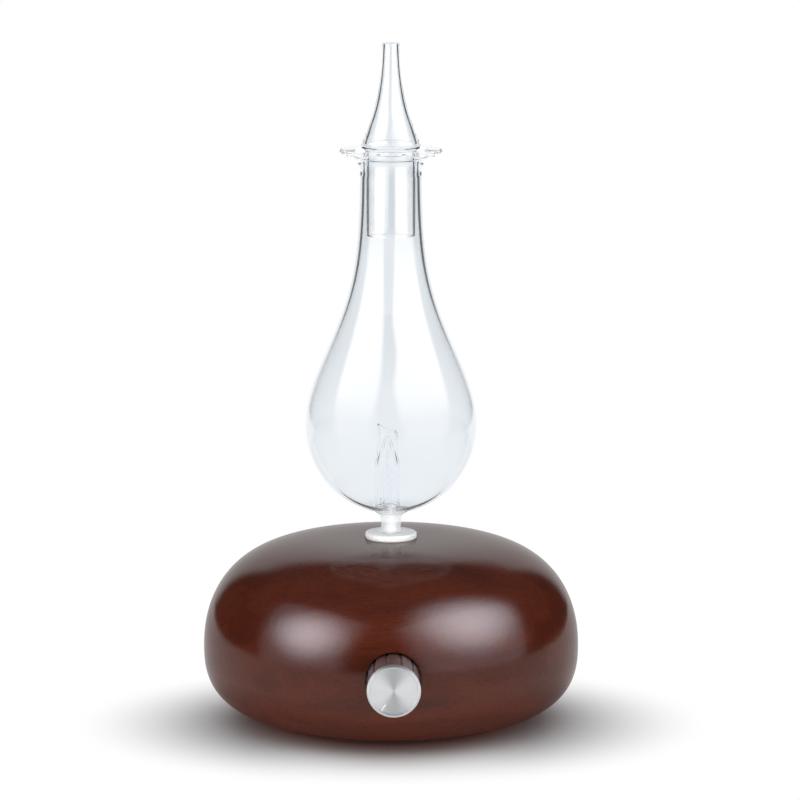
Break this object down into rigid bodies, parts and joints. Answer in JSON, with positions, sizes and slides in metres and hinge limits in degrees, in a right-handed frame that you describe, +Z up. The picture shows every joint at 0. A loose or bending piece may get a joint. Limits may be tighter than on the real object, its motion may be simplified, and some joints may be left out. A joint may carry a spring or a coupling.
{
  "type": "essential oil diffuser",
  "caption": "Nebulising diffuser: turned wooden base with pump and turning knob, a blown glass reservoir that lifts out, and a tapered glass stopper.",
  "frame": {"origin": "on the base's axis, in the plane of the foot ring's lower face", "axes": "+Z up along the glass's axis, -Y towards the knob, +Y towards the power inlet"},
  "size_m": [0.125, 0.1382, 0.224],
  "materials": {
    "dark_wood": "satin lacquer",
    "black_plastic": "fine moulded texture",
    "grey_plastic": "moulded",
    "white_plastic": "moulded",
    "white_silicone": "satin silicone",
    "black_rubber": "matt",
    "clear_tube": "translucent silicone",
    "felt": "needled felt",
    "spun_aluminium": "spun and brushed",
    "steel": "plated",
    "brass": "turned",
    "board_green": "solder mask",
    "lamp_yellow": "clear over phosphor",
    "chip_black": "moulded epoxy",
    "capacitor_blue": "sleeved",
    "ferrite": "sintered ferrite",
    "phenolic": "pressed phenolic",
    "wire_insulation": "insulated wire",
    "clear_glass": "clear blown borosilicate"
  },
  "bodies": {
    "base": {"wood_base": "dark_wood", "base_plate": "black_plastic", "plate_screws": "steel", "foot_ring": "black_rubber", "intake_filter": "felt", "glass_collar": "white_silicone", "glass_socket": "white_plastic", "socket_o_ring": "black_rubber", "socket_screws": "steel", "led_board": "white_plastic", "led_lamps": "lamp_yellow", "air_hose": "clear_tube", "motor_can": "steel", "motor_end_cap": "black_plastic", "motor_terminals": "brass", "pump_crankcase": "grey_plastic", "wobble_plate": "white_plastic", "pump_diaphragm": "black_rubber", "pump_valve_plate": "white_plastic", "pump_head": "grey_plastic", "pump_screws": "steel", "pump_cradle": "black_rubber", "circuit_board": "board_green", "board_standoffs": "brass", "board_screws": "steel", "timer_chip": "chip_black", "smoothing_capacitor": "capacitor_blue", "board_inductor": "ferrite", "wire_connectors": "white_plastic", "control_body": "phenolic", "control_bushing": "brass", "control_washer": "steel", "control_nut": "steel", "power_jack_body": "black_plastic", "power_jack_nut": "steel", "power_jack_pin": "brass", "motor_wires": "wire_insulation", "led_wires": "wire_insulation", "power_wires": "wire_insulation", "control_wires": "wire_insulation"},
    "knob": {"knob_shell": "spun_aluminium", "knob_insert": "black_plastic", "control_shaft": "spun_aluminium"},
    "rotor": {"motor_shaft": "steel", "pump_crank": "brass"},
    "reservoir": {"glass_reservoir": "clear_glass", "spray_sleeve": "clear_glass", "air_jet_tube": "clear_glass"},
    "stopper": {"glass_stopper": "clear_glass"}
  },
  "joints": [
    {"name": "knob_turn", "type": "hinge", "parent": "base", "child": "knob", "pos_m": [0, -0.07, 0.0265], "axis": [0, 1, 0], "range_deg": [0, 300]},
    {"name": "motor_spin", "type": "hinge", "parent": "base", "child": "rotor", "pos_m": [0, 0.014, 0.016], "axis": [1, 0, 0], "continuous": true},
    {"name": "reservoir_lift", "type": "slide", "parent": "base", "child": "reservoir", "axis": [0, 0, 1], "range_m": [0, 0.03]},
    {"name": "stopper_lift", "type": "slide", "parent": "reservoir", "child": "stopper", "axis": [0, 0, 1], "range_m": [0, 0.04]}
  ]
}
